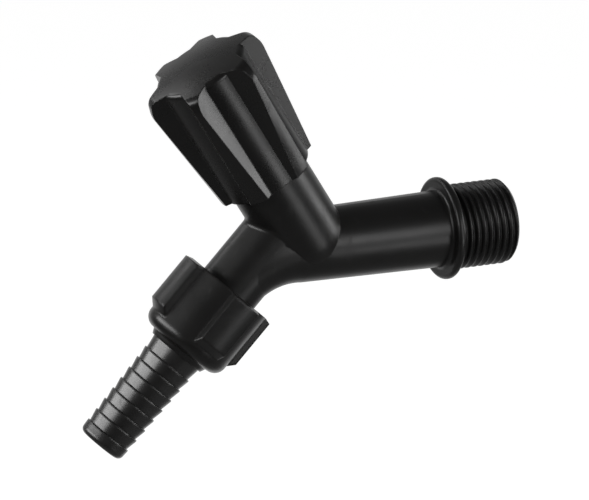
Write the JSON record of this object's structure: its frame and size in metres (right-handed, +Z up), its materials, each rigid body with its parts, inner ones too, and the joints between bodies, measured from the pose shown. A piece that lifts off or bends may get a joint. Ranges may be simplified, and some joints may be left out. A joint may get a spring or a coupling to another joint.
{
  "type": "hose tap",
  "caption": "Moulded plastic hose tap: Y-shaped body with a male inlet thread and collar, ribbed screw-down knob, and a union nut that holds a barbed hose tail.",
  "frame": {"origin": "on the inlet axis at the wall-side face of the collar", "axes": "+X into the wall along the inlet thread, +Z up, XZ is the mirror plane through inlet, knob and spout"},
  "size_m": [0.1096, 0.0282, 0.1017],
  "materials": {
    "moulded_black": "satin black moulded polypropylene",
    "acetal": "natural white acetal, turned and moulded",
    "seal_rubber": "matte black sealing rubber",
    "screw_brass": "plain turned brass"
  },
  "bodies": {
    "tap_body": {"tap_body": "moulded_black", "bonnet": "acetal", "bonnet_gasket": "seal_rubber"},
    "valve_disc": {"valve_disc": "acetal", "seat_washer": "seal_rubber", "washer_screw": "screw_brass"},
    "spindle": {"spindle": "acetal", "spindle_o_ring_lower": "seal_rubber", "spindle_o_ring_upper": "seal_rubber", "knob": "moulded_black"},
    "tail_washer": {"tail_washer": "seal_rubber"},
    "union_nut": {"union_nut": "moulded_black"},
    "hose_tail": {"hose_tail": "moulded_black"}
  },
  "joints": [
    {"name": "disc_lift", "type": "slide", "parent": "tap_body", "child": "valve_disc", "axis": [-0.521, 0, 0.8536], "range_m": [0, 0.005]},
    {"name": "knob_turn", "type": "hinge", "parent": "valve_disc", "child": "spindle", "pos_m": [-0.0359, 0, 0], "axis": [-0.521, 0, 0.8536], "range_deg": [0, 720]},
    {"name": "tail_drop", "type": "slide", "parent": "tap_body", "child": "tail_washer", "axis": [-0.6845, 0, -0.729], "range_m": [0, 0.00668]},
    {"name": "nut_turn", "type": "hinge", "parent": "tail_washer", "child": "union_nut", "pos_m": [-0.04108, 0, 0.00849], "axis": [-0.6845, 0, -0.729], "range_deg": [0, 1800]},
    {"name": "tail_swivel", "type": "hinge", "parent": "tail_washer", "child": "hose_tail", "pos_m": [-0.04108, 0, 0.00849], "axis": [-0.6845, 0, -0.729], "continuous": true}
  ],
  "couplings": [
    {"joint": "knob_turn", "follows": "disc_lift", "rad_per_m": 2513.3},
    {"joint": "nut_turn", "follows": "tail_drop", "rad_per_m": 4699.5}
  ]
}
